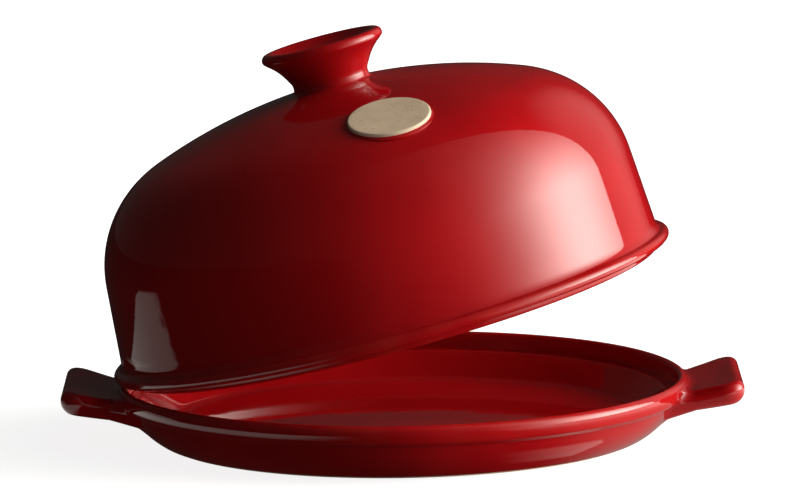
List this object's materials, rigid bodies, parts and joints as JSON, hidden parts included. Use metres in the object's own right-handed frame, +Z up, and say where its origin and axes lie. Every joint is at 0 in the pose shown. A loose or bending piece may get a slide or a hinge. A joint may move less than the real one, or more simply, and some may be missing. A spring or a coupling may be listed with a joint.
{
  "type": "bread cloche",
  "caption": "Glazed stoneware baking dish with tab handles, foot ring and a high domed lid with a flared knob and bare clay medallion, the lid tipped open on the rim",
  "frame": {"origin": "middle of the foot ring's underside, on the axis of the dish", "axes": "+Z up, out of the dish; +X along the two handles, towards the side where the tipped dome is open; -Y is the side with the medallion"},
  "size_m": [0.3402, 0.2862, 0.2054],
  "materials": {
    "glaze": "deep cherry red gloss glaze",
    "bare_clay": "bare fired clay, matt beige"
  },
  "bodies": {
    "base": {"base_dish": "glaze", "foot_ring": "bare_clay", "handle_left": "glaze", "handle_right": "glaze"},
    "dome": {"dome_shell": "glaze", "dome_knob": "glaze", "medallion": "bare_clay"}
  },
  "joints": [
    {"name": "dome_tilt", "type": "hinge", "parent": "base", "child": "dome", "pos_m": [-0.13986, 0.01445, 0.02945], "axis": [-0.1028, -0.9947, 0], "range_deg": [-14.1, 30.9]}
  ]
}
